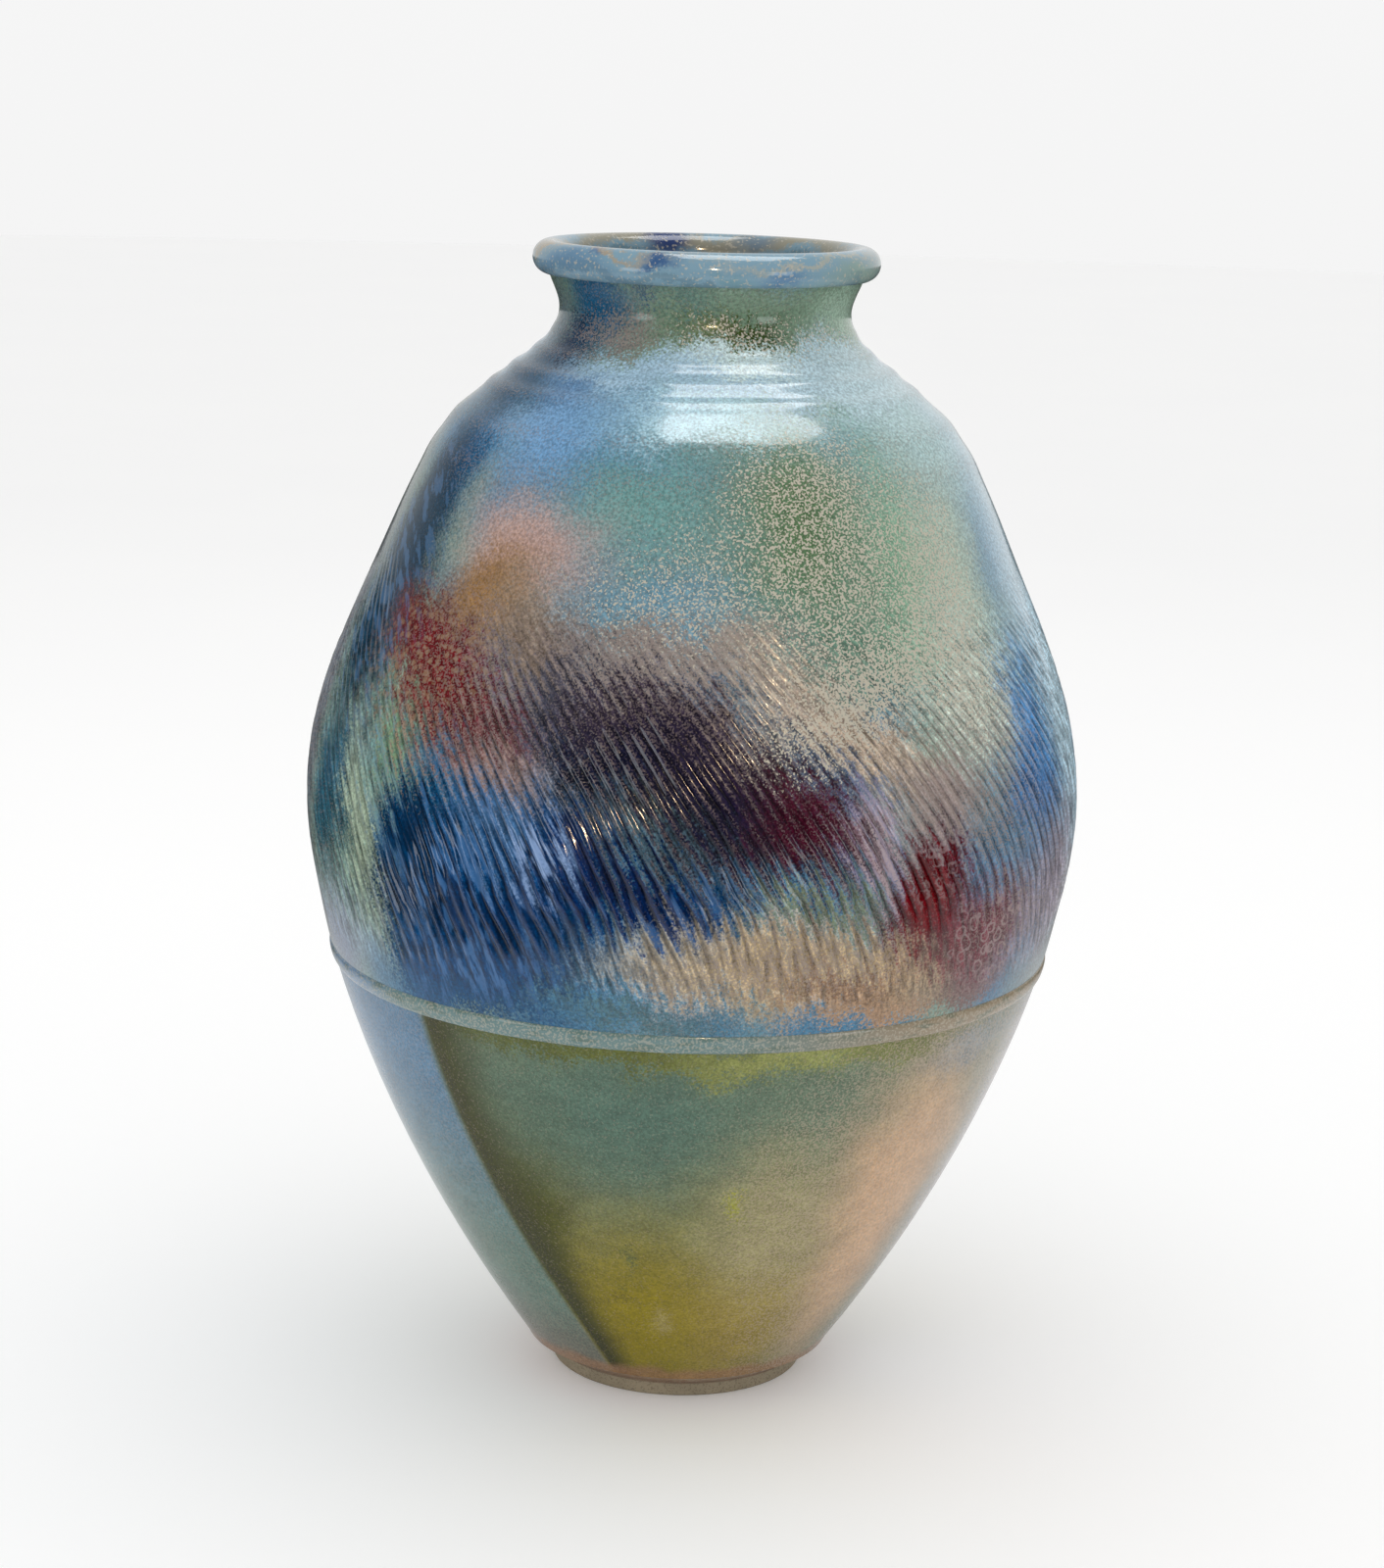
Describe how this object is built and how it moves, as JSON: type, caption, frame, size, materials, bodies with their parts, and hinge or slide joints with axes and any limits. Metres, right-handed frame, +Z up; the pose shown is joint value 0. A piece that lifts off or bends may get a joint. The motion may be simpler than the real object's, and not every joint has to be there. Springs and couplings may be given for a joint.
{
  "type": "stoneware vase",
  "caption": "Large round-bellied stoneware vase with a narrow foot, short neck and rolled lip, fluted round the belly under mottled glazes.",
  "frame": {"origin": "centre of the foot ring's resting face, on the vase's axis", "axes": "+Z up along the vase's axis, -Y towards the side with the dark green cloud of glaze, +X to that side's right"},
  "size_m": [0.336, 0.336, 0.5],
  "materials": {
    "stoneware": "bare fired stoneware, grey-brown, matte, fine grog",
    "slip": "fired joining slip, matte",
    "heel_glaze": "thin pinkish-tan coat on the turned heel, satin",
    "lower_glaze": "smooth glossy olive to teal-green with pale blue and pink-tan vertical bands",
    "glaze_roll": "thick glossy roll of olive-green glaze with tan crystals",
    "flute_glaze": "glossy cobalt, teal, oxblood and aubergine in the grooves, breaking to speckled tan on the ridges",
    "shoulder_glaze": "glossy pale blue and lavender with pinkish mottling over throwing rings",
    "neck_glaze": "glossy dark green with tan mottling, blue-teal to one side",
    "lip_glaze": "glossy light blue breaking to cream and tan on the crest",
    "liner_glaze": "tan-olive liner with blue edges, satin"
  },
  "bodies": {
    "root": {"foot_ring": "stoneware", "foot_slip": "slip", "base_section": "stoneware", "low_seam_slip": "slip", "belly_section": "stoneware", "belly_seam_slip": "slip", "shoulder_section": "stoneware", "collar_slip": "slip", "neck_collar": "stoneware", "lip_slip": "slip", "lip_coil": "stoneware", "heel_glaze": "heel_glaze", "lower_glaze": "lower_glaze", "glaze_roll": "glaze_roll", "flute_glaze": "flute_glaze", "shoulder_glaze": "shoulder_glaze", "neck_glaze": "neck_glaze", "lip_glaze": "lip_glaze", "liner_glaze": "liner_glaze"}
  },
  "joints": []
}
